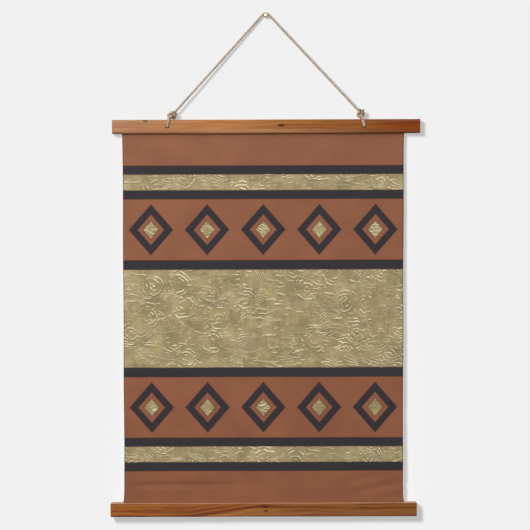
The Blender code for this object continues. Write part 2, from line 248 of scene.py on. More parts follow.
class Nodes:
    """Adds shader nodes to one tree. Most calls give a new node's output as a field."""

    def __init__(self, tree):
        self.tree = tree

    def feed(self, socket, value):
        if isinstance(value, Field):
            self.tree.links.new(value.socket, socket)
        else:
            socket.default_value = value

    def make(self, kind, fed=None, output=0, **settings):
        """A new node's output, with fields or plain values fed to its named or numbered inputs."""
        node = self.tree.nodes.new(kind)
        for name, value in settings.items():
            setattr(node, name, value)
        for name, value in (fed or {}).items():
            self.feed(node.inputs[name], value)
        return Field(self, node.outputs[output])

    def outputs(self, field):
        """All the outputs of a field's node, by name."""
        return {socket.name: Field(self, socket) for socket in field.socket.node.outputs}

    def math(self, operation, *values):
        """A math node, or a vector math node where a value is a vector or a colour."""
        flat = not any(isinstance(value, tuple) for value in values)
        flat = flat and all(value.socket.type == "VALUE" for value in values if isinstance(value, Field))
        kind = "ShaderNodeMath" if flat else "ShaderNodeVectorMath"
        number = flat or operation in ("LENGTH", "DISTANCE", "DOT_PRODUCT")
        output = "Value" if number else "Vector"
        return self.make(kind, dict(enumerate(values)), output, operation=operation)

    def split(self, vector):
        return list(self.outputs(self.make("ShaderNodeSeparateXYZ", {0: vector})).values())

    def join(self, x=0.0, y=0.0, z=0.0):
        return self.make("ShaderNodeCombineXYZ", {0: x, 1: y, 2: z})

    def noise(self, vector, scale, detail=2.0, roughness=0.5, distortion=0.0, output="Fac"):
        fed = {"Vector": vector, "Scale": scale, "Detail": detail}
        fed |= {"Roughness": roughness, "Distortion": distortion}
        return self.make("ShaderNodeTexNoise", fed, output)

    def cells(self, vector, scale):
        fed = {"Vector": vector, "Scale": scale}
        return self.outputs(self.make("ShaderNodeTexVoronoi", fed, voronoi_dimensions="2D"))

    def mix(self, share, first, second, blend="MIX"):
        """A share of the second colour over the first one. A plain colour has three numbers."""
        mixed = self.make("ShaderNodeMix", {"Factor": share}, 2, data_type="RGBA", blend_type=blend)
        colours = [socket for socket in mixed.socket.node.inputs if socket.type == "RGBA"]
        for socket, value in zip(colours, (first, second)):
            self.feed(socket, value if isinstance(value, Field) else (*value, 1))
        return mixed

    def coats(self, colour, *coats):
        """The colour with coats over it, each a share and a tone: as it shows on screen, or a field."""
        for share, tone in coats:
            colour = self.mix(share, colour, linear(*tone) if isinstance(tone, tuple) else tone)
        return colour

    def attribute(self, name):
        return self.make("ShaderNodeAttribute", output="Vector", attribute_name=name)

    def place(self):
        return self.make("ShaderNodeTexCoord", output="Object")

    def bump(self, height, distance, strength=1.0, normal=None):
        fed = {"Height": height, "Distance": distance, "Strength": strength}
        if normal:
            fed["Normal"] = normal
        return self.make("ShaderNodeBump", fed)

    def shade(self, looks):
        """Sets inputs of the Principled shader. A plain value goes on the shader's own socket."""
        for name, value in looks.items():
            self.feed(self.tree.nodes["Principled BSDF"].inputs[name], value)


def linear(red, green, blue):
    """A colour given as it shows on screen, 0 to 255, in linear light."""
    return tuple(((v / 255 + 0.055) / 1.055) ** 2.4 if v > 10 else v / 3294.6 for v in (red, green, blue))


def new_material(name, roughness, metallic=0.0):
    """A material and the node calls for its tree."""
    material = bpy.data.materials.new(name)
    material.use_nodes = True
    nodes = Nodes(material.node_tree)
    nodes.shade({"Roughness": roughness, "Metallic": metallic})
    return material, nodes


def add_object(name, data):
    obj = bpy.data.objects.new(name, data)
    bpy.context.scene.collection.objects.link(obj)
    return obj


def new_object(name, points, faces, materials, vectors=None):
    """A mesh piece. vectors names point attributes, each with one vector for every point."""
    mesh = bpy.data.meshes.new(name)
    mesh.from_pydata(points, [], faces)
    for material in materials:
        mesh.materials.append(material)
    for label, values in (vectors or {}).items():
        attribute = mesh.attributes.new(label, "FLOAT_VECTOR", "POINT")
        attribute.data.foreach_set("vector", np.asarray(values, np.float32).ravel())
    mesh.shade_smooth()
    return add_object(name, mesh)


def circle(sides):
    """The cosine and sine of each of a ring's angles."""
    angles = [2 * math.pi * k / sides for k in range(sides)]
    return [(math.cos(angle), math.sin(angle)) for angle in angles]


def tube_faces(rings):
    """Faces between rings of point numbers and over both ends. A ring of one point is a tip."""
    faces = []
    for low, high in zip(rings, rings[1:]):
        sides = max(len(low), len(high))
        for k in range(sides):
            after = (k + 1) % sides
            corners = [low[k % len(low)], low[after % len(low)]]
            corners += [high[after % len(high)], high[k % len(high)]]
            faces.append(tuple(dict.fromkeys(corners)))
    faces += [tuple(reversed(rings[0])), tuple(rings[-1])]
    return [face for face in faces if len(face) > 2]


def closed_piece(name, points, rings, materials=()):
    """A closed mesh over rings of its points, with its faces turned outward."""
    piece = new_object(name, points, tube_faces(rings), materials)
    bm = bmesh.new()
    bm.from_mesh(piece.data)
    bmesh.ops.recalc_face_normals(bm, faces=bm.faces)
    bm.to_mesh(piece.data)
    bm.free()
    return piece


def apply_modifiers(obj):
    """Makes the evaluated mesh the object's own and takes the modifiers off."""
    bpy.context.view_layer.update()
    graph = bpy.context.evaluated_depsgraph_get()
    mesh = bpy.data.meshes.new_from_object(obj.evaluated_get(graph))
    obj.modifiers.clear()
    obj.data = mesh


def finish_piece(obj, slot, *nodes):
    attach(obj, "root")
    if nodes:
        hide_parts(*nodes)


# Strands


def curve_point(a, b, c, d, t):
    """A point between b and c, t of the way, on the Catmull-Rom curve through a, b, c and d."""
    straight = 2 * b + (c - a) * t
    bend = (2 * a - 5 * b + 4 * c - d) * t**2
    turn = (3 * b - a - 3 * c + d) * t**3
    return 0.5 * (straight + bend + turn)


def smooth_route(points, step):
    """Points about step apart on the Catmull-Rom curve through the given ones."""
    points = [Vector(p) for p in points]
    ends = [2 * points[0] - points[1], *points, 2 * points[-1] - points[-2]]
    fine = [points[0]]
    for a, b, c, d in zip(ends, ends[1:], ends[2:], ends[3:]):
        parts = max(4, math.ceil((c - b).length / step * 4))
        fine += [curve_point(a, b, c, d, (i + 1) / parts) for i in range(parts)]
    along = [0.0]
    for a, b in zip(fine, fine[1:]):
        along.append(along[-1] + (b - a).length)
    count = max(2, round(along[-1] / step))
    spaced, at = [], 0
    for i in range(count + 1):
        wanted = along[-1] * i / count
        while at < len(fine) - 2 and along[at + 1] < wanted:
            at += 1
        share = (wanted - along[at]) / (along[at + 1] - along[at])
        spaced.append(fine[at].lerp(fine[at + 1], share))
    return spaced


def carried_frames(route):
    """For each point its direction and two sideways directions, turned as little as possible."""
    frames = []
    side = (route[1] - route[0]).orthogonal().normalized()
    for i in range(len(route)):
        ahead = (route[min(i + 1, len(route) - 1)] - route[max(i - 1, 0)]).normalized()
        side = (side - side.dot(ahead) * ahead).normalized()
        frames.append((ahead, side, ahead.cross(side)))
    return frames


class Strands:
    """Collects tubes into one mesh.

    grain holds each point's place round and along its tube. lay holds how far out it is on its
    twine, 0 to 1, a number for the tube, and how much painted shade it takes, from the strands that
    close in round it and on a knot's shaded side.
    """

    def __init__(self):
        self.points = []
        self.faces = []
        self.grain = []
        self.lay = []
        self.outward = []

    def tube(self, route, radii, sides, offset=0.0, axis=None, reach=1.0):
        """A capped tube along the route, with a radius for each point. axis is its twine's middle."""
        start = len(self.points)
        along = 0.0
        for i, (centre, (_, side, up)) in enumerate(zip(route, carried_frames(route))):
            if i:
                along += (centre - route[i - 1]).length
            for c, s in circle(sides):
                point = centre + radii[i] * (c * side + s * up)
                self.points.append(point)
                self.grain.append((c, s, offset + along))
                from_axis = point - axis[i] if axis else c * side + s * up
                self.outward.append(from_axis.normalized() if from_axis.length > 1e-5 else up)
                outer = (point - axis[i]).length / reach if axis else 1.0
                self.lay.append((outer, offset, 0.0))
        self.faces += tube_faces([range(at, at + sides) for at in range(start, len(self.points), sides)])

    def twine(self, points, radius, rng, width=1.0):
        """Three plies laid round the route through the points. Gives the route back.

        width is how much wider than deep the twine lies, where it is pressed on a bar.
        """
        route = smooth_route(points, PLY_PITCH / STEPS_PER_TURN)
        frames = carried_frames(route)
        ply_radius = PLY_SHARE * radius
        turn = rng.uniform(0, 2 * math.pi)
        for ply in range(PLIES):
            offset = rng.uniform(0, 100)
            path, radii = [], []
            for i, (centre, (_, side, up)) in enumerate(zip(route, frames)):
                angle = turn + 2 * math.pi * (i / STEPS_PER_TURN + ply / PLIES)
                lump = noise.noise(Vector((offset, 0, i * LUMP_RATE)))
                radii.append(ply_radius * (1 + PLY_LUMPS * lump))
                reach = (radius - ply_radius) * (1 + 0.5 * PLY_LUMPS * lump)
                out = reach * (math.cos(angle) * side + math.sin(angle) * up)
                path.append(centre + Vector((out.x * width, out.y, out.z)))
            self.tube(path, radii, PLY_SIDES, offset, route, radius)
        return route

    def fuzz(self, route, radius, hairs, rng, spray=0.55):
        """Loose fibres that leave the twine at a slant and curl."""
        count, length = hairs
        frames = carried_frames(route)
        for _ in range(count):
            i = rng.randrange(len(route))
            ahead, side, up = frames[i]
            angle = rng.uniform(0, 2 * math.pi)
            out = math.cos(angle) * side + math.sin(angle) * up
            around = ahead.cross(out)
            heading = (rng.choice((-1, 1)) * ahead + spray * rng.uniform(0.3, 1.6) * out).normalized()
            heading = (heading + rng.uniform(-0.5, 0.5) * around).normalized()
            reach = length * rng.uniform(0.35, 1.0)
            curl = rng.uniform(-0.9, 0.9) * around - rng.uniform(0.0, 0.9) * out
            shares = [k / (FUZZ_STEPS - 1) for k in range(FUZZ_STEPS)]
            root = route[i] + 0.8 * radius * out
            path = [root + reach * (t * heading + 0.4 * t * t * curl) for t in shares]
            radii = [FUZZ_RADIUS * (1 - 0.75 * t) for t in shares]
            self.tube(path, radii, FUZZ_SIDES, rng.uniform(0, 100))

    def hide(self, reach, centre, shade_way):
        """Writes how much painted shade each point takes, 0 to 1: the share of its surroundings that its own
        strands close in, painted as shade in the creases.

        The knot's side toward the given way, an (x, z), takes more painted shade.
        """
        tree = BVHTree.FromPolygons(self.points, self.faces)
        lift = 0.0006  # starts each ray clear of the strand's own skin
        least_facing = 0.2
        views = [Vector(view).normalized() for view in itertools.product((-1, 0, 1), repeat=3) if any(view)]
        # Painted shade: the share of short rays from each point that its strands block, for the creases
        for at, (point, (outer, number, _)) in enumerate(zip(self.points, self.lay)):
            out = self.outward[at]
            seen = [view for view in views if view.dot(out) > least_facing]
            blocked = sum(tree.ray_cast(point + lift * out, view, reach)[0] is not None for view in seen)
            # More painted shade on the knot's side toward the given way
            aside = point - centre
            toward = (aside.x * shade_way[0] + aside.z * shade_way[1]) / KNOT_SIDE_SHADE_REACH
            side_shade = KNOT_SIDE_SHADE * min(max(toward, 0.0), 1.0) if aside.length < 2 * KNOT_SIDE_SHADE_REACH else 0.0
            self.lay[at] = (outer, number, min(blocked / len(seen) + side_shade, 1.0))

    def build(self, name, material):
        vectors = {"grain": self.grain, "lay": self.lay}
        return new_object(name, self.points, self.faces, [material], vectors)


def loop_route(knot):
    """The twine's way from the knot down the bar's front, through the hole and up its back."""
    centre = Vector(knot["centre"])
    top_z = TOP_BAR_Z + BAR_HEIGHT / 2
    clear = LOOP_RADIUS + GAP
    hole_z = TOP_BAR_Z + HOLE_RADIUS - clear
    rim_z = TOP_BAR_Z + HOLE_RADIUS
    corner = clear * math.sqrt(0.5)
    hole_x, lean = knot["hole_x"], knot["lean"]
    edge_x = hole_x + lean

    def one_side(face_y, away):
        """From the hole's mouth in one face up past the bar's top edge and in to the knot."""
        shoulder_y = face_y + away * clear
        over_edge = Vector((edge_x, face_y, top_z + EDGE_RISE * clear))
        return [
            Vector((hole_x, face_y, hole_z)),
            Vector((hole_x, face_y + away * corner, rim_z - corner)),
            Vector((hole_x, shoulder_y, rim_z)),
            Vector((hole_x + lean / 2, shoulder_y, (rim_z + top_z) / 2)),
            Vector((edge_x, shoulder_y, top_z)),
            Vector((edge_x, face_y + away * SHOULDER * clear, top_z + SHOULDER * clear)),
            over_edge.lerp(centre, 0.15),
            over_edge.lerp(centre, 0.6),
            centre,
        ]

    return one_side(TOP_FRONT_Y, -1)[::-1] + one_side(TOP_BACK_Y, 1)


def knot_turns(knot):
    """The knot's own turns: a trefoil seen from the front."""
    centre = Vector(knot["centre"])
    wide, high = knot["spread"]
    turn = Matrix.Rotation(math.radians(knot["turn"]), 2)
    steps = 24
    points = []
    for i in range(steps + 1):
        t = 2 * math.pi * i / steps
        flat = turn @ Vector((math.sin(t) + 2 * math.sin(2 * t), math.cos(t) - 2 * math.cos(2 * t)))
        offset = Vector((flat.x * LOBE * wide, LOBE_DEPTH * math.sin(3 * t), flat.y * LOBE * high))
        points.append(centre + offset)
    return points


# Tones of the twine: pale, middle, dark, tired patches, and painted shade for the valleys between plies
KNOT_TONES = ((248, 228, 200), (220, 190, 158), (152, 116, 86), (180, 160, 140), (84, 52, 34))
CORD_TONES = ((243, 228, 206), (210, 190, 166), (152, 128, 106), (180, 162, 146), (104, 78, 60))


def jute_material(name, tones, valley_shade):
    material, nodes = new_material(name, 0.95)
    grain = nodes.attribute("grain")
    outer, _, painted_shade = nodes.split(nodes.attribute("lay"))
    fibres = nodes.noise(grain * (2.2, 2.2, 300.0), 1.0, 3.0, 0.6)
    fine = nodes.noise(grain * (7.0, 7.0, 700.0), 1.0)
    patches = nodes.noise(nodes.place(), 170.0)
    pale, middle, dark, tired, shadow = tones
    colour = nodes.coats(
        linear(*dark),
        (fibres.step(0.30, 0.62), middle),
        (fine.step(0.40, 0.70, 0.8), pale),
        (patches.step(0.48, 0.70, 0.55), tired),
        # Painted shade in the valleys between plies, in the creases that other strands close in, and on a
        # knot's shaded side
        (outer.step(0.72, 0.40, valley_shade), shadow),
        (painted_shade.spread(0.15, 0.60, 0.0, 0.92), (70, 42, 26)),
    )
    nodes.shade(
        {
            "Base Color": colour,
            "Normal": nodes.bump(fibres + fine * 0.5, 0.00025, 0.8),
            "Specular IOR Level": 0.15,
            "Sheen Weight": 0.2,
            "Sheen Roughness": 0.5,
        }
    )
    return material


def twine_piece(strands, name, material, *nodes):
    piece = strands.build(name, material)
    finish_piece(piece, "jute", *nodes)
    return piece


def cord_and_knots():
    knot_jute = jute_material("knot_jute", KNOT_TONES, 0.45)
    cord_jute = jute_material("cord_jute", CORD_TONES, 0.7)
    rng = random.Random(7)
    for knot, cord_end in zip(KNOTS, (CORD_ROUTE[0], CORD_ROUTE[-1])):
        centre = Vector(knot["centre"])
        neck = knot["neck"] * (Vector(cord_end) - centre).normalized()
        tail = Vector(knot["tail"])
        tied = Strands()
        loop = tied.twine(loop_route(knot), LOOP_RADIUS, rng, knot["loop_width"])
        turns = tied.twine(knot_turns(knot), KNOT_RADIUS, rng)
        tied.twine([centre, centre + neck / 2, centre + neck], TWINE_RADIUS, rng)
        end = tied.twine([centre, centre + tail / 2, centre + 0.85 * tail], TWINE_RADIUS, rng)
        # Paints shade into the knot's creases and on its shaded side
        tied.hide(CREASE_SHADE_REACH, centre, knot["shade_way"])
        twine_piece(tied, knot["name"] + "_plies", knot_jute, knot["name"])
        hairs = Strands()
        hairs.fuzz(turns, KNOT_RADIUS, KNOT_HAIRS, rng)
        hairs.fuzz(loop, LOOP_RADIUS, LOOP_HAIRS, rng, spray=0.3)
        hairs.fuzz(end[len(end) // 2 :], TWINE_RADIUS, TAIL_HAIRS, rng, spray=0.4)
        twine_piece(hairs, knot["name"] + "_fuzz", knot_jute)
    cord = Strands()
    route = cord.twine(CORD_ROUTE, TWINE_RADIUS, rng)
    cord_piece = twine_piece(cord, "cord_plies", cord_jute, "hanging_cord")
    hairs = Strands()
    hairs.fuzz(route, TWINE_RADIUS, CORD_HAIRS, rng)
    twine_piece(hairs, "cord_fuzz", cord_jute)


# Nail


def brass_material():
    material, nodes = new_material("brass", 0.42, metallic=1.0)
    place = nodes.place()
    tarnish = nodes.noise(place, 900.0, 3.0, 0.6)
    # The head is painted darker toward its rim: painted shade round the dome's edge
    rim = (place * (1.0, 0.0, 1.0)).length().step(0.45 * HEAD_RADIUS, 0.95 * HEAD_RADIUS, 0.8)
    colour = nodes.coats(linear(204, 192, 170), (tarnish, (180, 166, 138)), (rim, (122, 106, 74)))
    nodes.shade(
        {
            "Base Color": colour,
            "Roughness": tarnish.spread(0.3, 0.7, 0.36, 0.52),
            "Normal": nodes.bump(tarnish, 0.00008, 0.5),
        }
    )
    return material


def wall_nail():
    """A nail with a domed head, turned about the Y axis, its head a little out of true."""
    under_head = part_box("wall_nail")[0].y + HEAD_HEIGHT
    rim = 0.0005
    bead = 0.00015
    fillet = 0.0003
    grooves = 4
    groove_pitch = 0.0012
    groove_half = 0.0003
    dome_steps = 14
    sides = 64
    dent_depth = 0.00006
    profile = [(0.0, NAIL_DEPTH), (0.25 * SHANK_RADIUS, NAIL_DEPTH - 0.25 * NAIL_TIP)]
    profile += [(SHANK_RADIUS, NAIL_DEPTH - NAIL_TIP), (SHANK_RADIUS, 0.35 * NAIL_DEPTH)]
    for groove in range(grooves):
        y = 0.3 * NAIL_DEPTH - groove * groove_pitch
        profile += [(SHANK_RADIUS, y), (0.93 * SHANK_RADIUS, y - groove_half)]
        profile.append((SHANK_RADIUS, y - 2 * groove_half))
    profile += [(SHANK_RADIUS, under_head + fillet), (SHANK_RADIUS + fillet, under_head)]
    profile += [(HEAD_RADIUS - bead, under_head), (HEAD_RADIUS, under_head - bead)]
    for i in range(dome_steps):
        angle = math.pi / 2 * i / dome_steps
        height = (HEAD_HEIGHT - rim) * math.sin(angle)
        profile.append((HEAD_RADIUS * math.cos(angle), under_head - rim - height))
    profile.append((0.0, under_head - HEAD_HEIGHT))
    points, rings = [], []
    for radius, y in profile:
        count = sides if radius else 1
        rings.append(range(len(points), len(points) + count))
        for c, s in circle(sides)[:count]:
            dent = dent_depth * noise.noise(Vector((c * 2, y * 900, s * 2)))
            reach = radius + (dent if y < under_head and radius else 0.0)
            points.append((reach * c, y, reach * s))
    nail = closed_piece("brass_nail", points, rings, [brass_material()])
    nail.data.set_sharp_from_angle(angle=math.radians(35))
    finish_piece(nail, "brass", "wall_nail")


# Bars

# seed sets a bar's grain, and tones run from its left end to its right end. A mark is a small knot in
# the wood: x, z and size. sweep is how far the grain climbs between two places along the bar, and
# streaks how dark its streaks are. A band follows the grain at a height: its height before the climb,
# half width, where along the bar it starts and is full, strength and tone. The low edge entry darkens
# the lowest edge with painted shade, and the top face entry pales the top face with painted light.
# high_sheen and low_sheen lighten the bar's upper and lower part with a painted sheen, and the high
# edge entry pales its upper edge with a painted highlight, each by its shares for the left end, the
# middle and the right end.
BAR_LOOKS = {
    "top": {
        "seed": 3.7,
        "tones": ((181, 128, 94), (178, 121, 72), (162, 102, 50), (137, 66, 9)),
        "marks": ((0.0245, -0.1792, 0.0030), (-0.1956, -0.1718, 0.0022)),
        "sweep": (0.0, -0.1, 0.1),
        "streaks": 0.9,
        "bands": (),
        "shaded_low_edge": 0.5,
        "high_sheen": (0.40, 0.10, 0.70),
        "low_sheen": (0.35, 1.0, 0.12),
        "lit_high_edge": (0.0, 0.0, 0.0),
        "lit_top_face": 0.0,
    },
    "bottom": {
        "seed": 9.1,
        "tones": ((166, 101, 49), (156, 93, 48), (149, 93, 48), (146, 93, 45)),
        "marks": ((-0.0023, -0.8003, 0.0026), (-0.0018, -0.8068, 0.0020)),
        "sweep": (0.016, -0.15, 0.0),
        "streaks": 1.0,
        "bands": (
            (-0.8128, 0.0034, 0.08, -0.02, 0.8, (92, 38, 18)),
            (-0.8183, 0.0030, 0.05, -0.03, 0.7, (176, 126, 60)),
        ),
        "shaded_low_edge": 0.1,
        "high_sheen": (0.0, 0.0, 0.0),
        "low_sheen": (0.0, 0.35, 0.25),
        "lit_high_edge": (0.1, 0.1, 0.0),
        "lit_top_face": 0.6,
    },
}


def wood_material(name, bar):
    """Stained softwood: long grain that bends round small dark knots, with a painted sheen, painted shade on
    the lowest edge and painted light on the upper edge and top face.
    """
    material, nodes = new_material(name, 0.5)
    look = BAR_LOOKS[bar]
    seed = look["seed"]
    place = nodes.place()
    x, y, z = nodes.split(place)
    bend = 0.0
    spots = 0.0
    for mark_x, mark_z, size in look["marks"]:
        distance = ((place - (mark_x, 0, mark_z)) * (0.45, 0, 1.0)).length()
        bend = bend + distance.step(4.0 * size, 0.0) * ((z - mark_z) * -0.7)
        ragged = distance + nodes.noise(place, 700.0) * 0.0010
        spots = ragged.step(1.5 * size, 0.5 * size).larger(spots)
    climb, climb_from, climb_to = look["sweep"]
    wander = nodes.noise(nodes.join(x * 9.0, seed, 0.0), 1.0)
    bent_z = z + bend + x.step(climb_from, climb_to, -climb) + wander * 0.006
    grain_place = nodes.join(x * 4.0, y * 90.0 + seed, bent_z * 300.0)
    broad = nodes.noise(grain_place, 1.0, 2.0, 0.5, 0.3)
    thin = nodes.noise(grain_place * (3.0, 3.0, 5.0), 1.0, 3.0, 0.65)
    pores = nodes.noise(grain_place * (9.0, 6.0, 11.0), 1.0, 1.0)
    lines = nodes.noise(grain_place * (2.0, 1.5, 2.0), 1.0, 1.0)
    blotches = nodes.noise(nodes.join(x * 13.0, seed, bent_z * 170.0), 1.0, 3.0)
    first, *tones = look["tones"]
    stops = np.linspace(-0.25, 0.25, len(tones) + 1)
    base = nodes.coats(linear(*first), *zip(map(x.step, stops, stops[1:]), tones))
    deep, glow, golden, red = (
        nodes.mix(1.0, base, tint, "MULTIPLY")
        for tint in ((0.58, 0.44, 0.36), (1.28, 1.32, 1.36), (1.06, 1.16, 0.98), (0.98, 0.78, 0.66))
    )
    colour = nodes.coats(
        base,
        (broad.step(0.52, 0.35, look["streaks"]), deep),
        (broad.step(0.48, 0.66, 0.9), glow),
        (lines.step(0.47, 0.32, 0.45), deep),
        (lines.step(0.53, 0.68, 0.40), glow),
        (thin.step(0.48, 0.72, 0.50), deep),
        (pores.step(0.58, 0.8, 0.45), deep),
    )
    for height, half_width, starts, full, most, tone in look["bands"]:
        band = abs(bent_z - height).step(half_width, 0.0008) * x.step(starts, full, most)
        colour = nodes.coats(colour, (band, tone))
    colour = nodes.coats(
        colour,
        (blotches.step(0.47, 0.64, 0.6), golden),
        (blotches.step(0.47, 0.32, 0.7), red),
        (spots * 0.85, (64, 28, 14)),
    )
    up_bar = z - (TOP_BAR_Z if bar == "top" else BOTTOM_BAR_Z)
    edge = BAR_HEIGHT / 2

    def strip(starts, full, shares):
        """How much of a tone a strip takes: from where it starts to where it is full, up the bar."""
        left, centre, right = shares
        share = x.step(-0.25, 0.02, centre - left) + x.step(0.06, 0.25, right - centre)
        return up_bar.step(starts, full) * (share + left)

    # Painted light and shade: a painted sheen low and high on the bar, painted shade on its lowest edge, a
    # painted highlight on its upper edge and painted light on its top face
    low_sheen = strip(0.0095 - edge, 0.0040 - edge, look["low_sheen"])
    high_sheen = strip(edge - 0.0070, edge - 0.0005, look["high_sheen"])
    lit_high_edge = strip(edge - 0.0024, edge - 0.0008, look["lit_high_edge"])
    shaded_low_edge = up_bar.step(0.0046 - edge, 0.0006 - edge, look["shaded_low_edge"])
    lit_top_face = up_bar.step(edge - 0.0008, edge - 0.0002, look["lit_top_face"])
    colour = nodes.mix(low_sheen, colour, (0.055, 0.062, 0.052), "ADD")
    colour = nodes.coats(colour, (shaded_low_edge, (84, 40, 20)))
    colour = nodes.mix(high_sheen, colour, (0.08, 0.07, 0.06), "ADD")
    colour = nodes.coats(colour, (lit_high_edge, (206, 150, 110)), (lit_top_face, (232, 184, 152)))
    nodes.shade(
        {
            "Base Color": colour,
            "Normal": nodes.bump(thin * -0.6 + pores * -0.5, 0.0003, 0.4),
            "Roughness": thin.spread(0.3, 0.7, 0.45, 0.62),
            "Specular IOR Level": 0.08,
        }
    )
    return material


def hole_cutter(hole_x, flare_y, inner_y):
    """A hole whose rim is rounded over on the face at flare_y."""
    flare = 0.0006
    past_face = 0.002
    roughness = 0.015
    inward = 1 if inner_y > flare_y else -1
    profile = [(HOLE_RADIUS + 2 * flare, flare_y - inward * flare)]
    profile += [(HOLE_RADIUS + flare, flare_y), (HOLE_RADIUS + 0.3 * flare, flare_y + inward * 0.3 * flare)]
    profile += [(HOLE_RADIUS, flare_y + inward * flare), (HOLE_RADIUS, inner_y + inward * past_face)]
    sides = 32
    points = []
    for radius, y in profile:
        for c, s in circle(sides):
            rough = radius * (1 + roughness * noise.noise(Vector((3 * c, 3 * s, flare_y * 700))))
            points.append((hole_x + rough * c, y, TOP_BAR_Z + rough * s))
    rings = [range(i * sides, (i + 1) * sides) for i in range(len(profile))]
    return closed_piece("cutter", points, rings)


def rebate_cutter(node, mouth):
    """The cloth's room in a back slat's front face, open downward at mouth -1 and upward at mouth 1."""
    lowest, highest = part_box(node)
    cloth_x = CLOTH_TOP_X if mouth < 0 else LOWER_BAR_X
    half = CLOTH_WIDTH / 2 + REBATE_CLEARANCE
    past_face = 0.001
    mouth_z = lowest.z if mouth < 0 else highest.z
    inner_z = mouth_z - mouth * (CLOTH_TUCK + REBATE_CLEARANCE)
    front, back = lowest.y - past_face, lowest.y + REBATE_DEPTH
    around = ((-half, front), (half, front), (half, back), (-half, back))
    heights = sorted((mouth_z + mouth * past_face, inner_z))
    points = [(cloth_x + x, y, z) for z in heights for x, y in around]
    return closed_piece("cutter", points, [range(4), range(4, 8)])


def slat_section(depth, height, ease):
    """A rounded rectangle, as (y, z) from its middle, with extra points up the long faces."""
    outline = []
    corners = ((1, 1, 0), (-1, 1, 90), (-1, -1, 180), (1, -1, 270))
    arc_steps = 4
    face_steps = 7
    for at, (side_y, side_z, start) in enumerate(corners):
        middle = (side_y * (depth / 2 - ease), side_z * (height / 2 - ease))
        for k in range(arc_steps + 1):
            angle = math.radians(start + 90 * k / arc_steps)
            outline.append((middle[0] + ease * math.cos(angle), middle[1] + ease * math.sin(angle)))
        if at % 2:
            run = height - 2 * ease
            for k in range(1, face_steps):
                z = side_z * (height / 2 - ease - run * k / face_steps)
                outline.append((side_y * depth / 2, z))
    return outline


def slat(node, material, cutters):
    """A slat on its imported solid, with hand-eased edges that wander a little."""
    lowest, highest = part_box(node)
    middle = (lowest + highest) / 2
    size = highest - lowest
    seed = sum(map(ord, node)) * 0.37
    edge_ease = 0.0010
    end_ease = 0.0009
    ease_stops = (0.0, 0.25, 0.6, 1.0)
    slow_wander = 0.00022
    fine_wander = 0.00010
    sections = 168
    outline = slat_section(size.y, size.z, edge_ease)
    places = [(lowest.x + end_ease * s, 1 - math.sqrt(max(0.0, 1 - (1 - s) ** 2))) for s in ease_stops]
    inner = np.linspace(lowest.x + end_ease, highest.x - end_ease, sections)[1:-1]
    places += [(x, 0.0) for x in inner]
    places += [(lowest.x + highest.x - x, pull) for x, pull in reversed(places[: len(ease_stops)])]
    points = []
    for x, pull in places:
        for y, z in outline:
            wander_z = slow_wander * noise.noise(Vector((x * 14, seed, math.copysign(3, z))))
            wander_z += fine_wander * noise.noise(Vector((x * 70, seed, math.copysign(5, z))))
            wander_y = fine_wander * noise.noise(Vector((x * 25, seed + 9, z * 120)))
            at_y = y * (1 - 2 * pull * end_ease / size.y) + wander_y
            at_z = z * (1 - 2 * pull * end_ease / size.z) + wander_z * abs(z) / (size.z / 2)
            points.append((x, middle.y + at_y, middle.z + at_z))
    ring = len(outline)
    rings = [range(i * ring, (i + 1) * ring) for i in range(len(places))]
    piece = closed_piece(node + "_wood", points, rings, [material])
    for cutter in cutters:
        modifier = piece.modifiers.new("cut", "BOOLEAN")
        modifier.operation = "DIFFERENCE"
        modifier.solver = "MANIFOLD"
        modifier.object = cutter
    if cutters:
        apply_modifiers(piece)
        for cutter in cutters:
            bpy.data.objects.remove(cutter)
    piece.data.shade_smooth()
    piece.data.set_sharp_from_angle(angle=math.radians(38))
    finish_piece(piece, "stained_wood", node)
    return piece


def bars():
    top = wood_material("upper_bar_wood", "top")
    bottom = wood_material("lower_bar_wood", "bottom")
    front_holes = [hole_cutter(knot["hole_x"], TOP_FRONT_Y, TOP_FRONT_Y + SLAT_DEPTH) for knot in KNOTS]
    back_holes = [hole_cutter(knot["hole_x"], TOP_BACK_Y, TOP_BACK_Y - SLAT_DEPTH) for knot in KNOTS]
    return [
        slat("top_front_slat", top, front_holes),
        slat("top_back_slat", top, back_holes + [rebate_cutter("top_back_slat", -1)]),
        slat("bottom_front_slat", bottom, []),
        slat("bottom_back_slat", bottom, [rebate_cutter("bottom_back_slat", 1)]),
    ]


# Canvas

TERRACOTTA = (149, 97, 73)
LOWER_TERRACOTTA = (149, 93, 67)  # it is a little warmer lower down
GOLD = (168, 151, 110)
THREAD_PITCH = 0.0011
# Bands down to the middle of the cloth, which the lower half mirrors: where each ends, in metres
BANDS = (
    (0.052, "terracotta"),
    (0.066, "charcoal"),
    (0.092, "gold"),
    (0.106, "charcoal"),
    (0.206, "terracotta"),
    (0.221, "charcoal"),
    (0.300, "gold"),
)
LOZENGES = 5
LOZENGE_HALF = (0.036, 0.041)
LOZENGE_RINGS = (1.0, 0.62, 0.36)  # outer edge, inner edge of the dark outline, gold centre


def draw_in(from_top, phase):
    """How far a side edge lies inside the full width, at a distance below the upper bar."""
    nearest_bar = max(0.0, min(from_top, CLOTH_DROP - from_top))
    necking = NECKING_TOP + (NECKING_BOTTOM - NECKING_TOP) * from_top / CLOTH_DROP
    wave = EDGE_WAVE * math.sin(2 * math.pi * from_top / EDGE_WAVE_LENGTH + phase)
    return (necking + wave) * (1 - math.exp(-nearest_bar / NECKING_LENGTH))


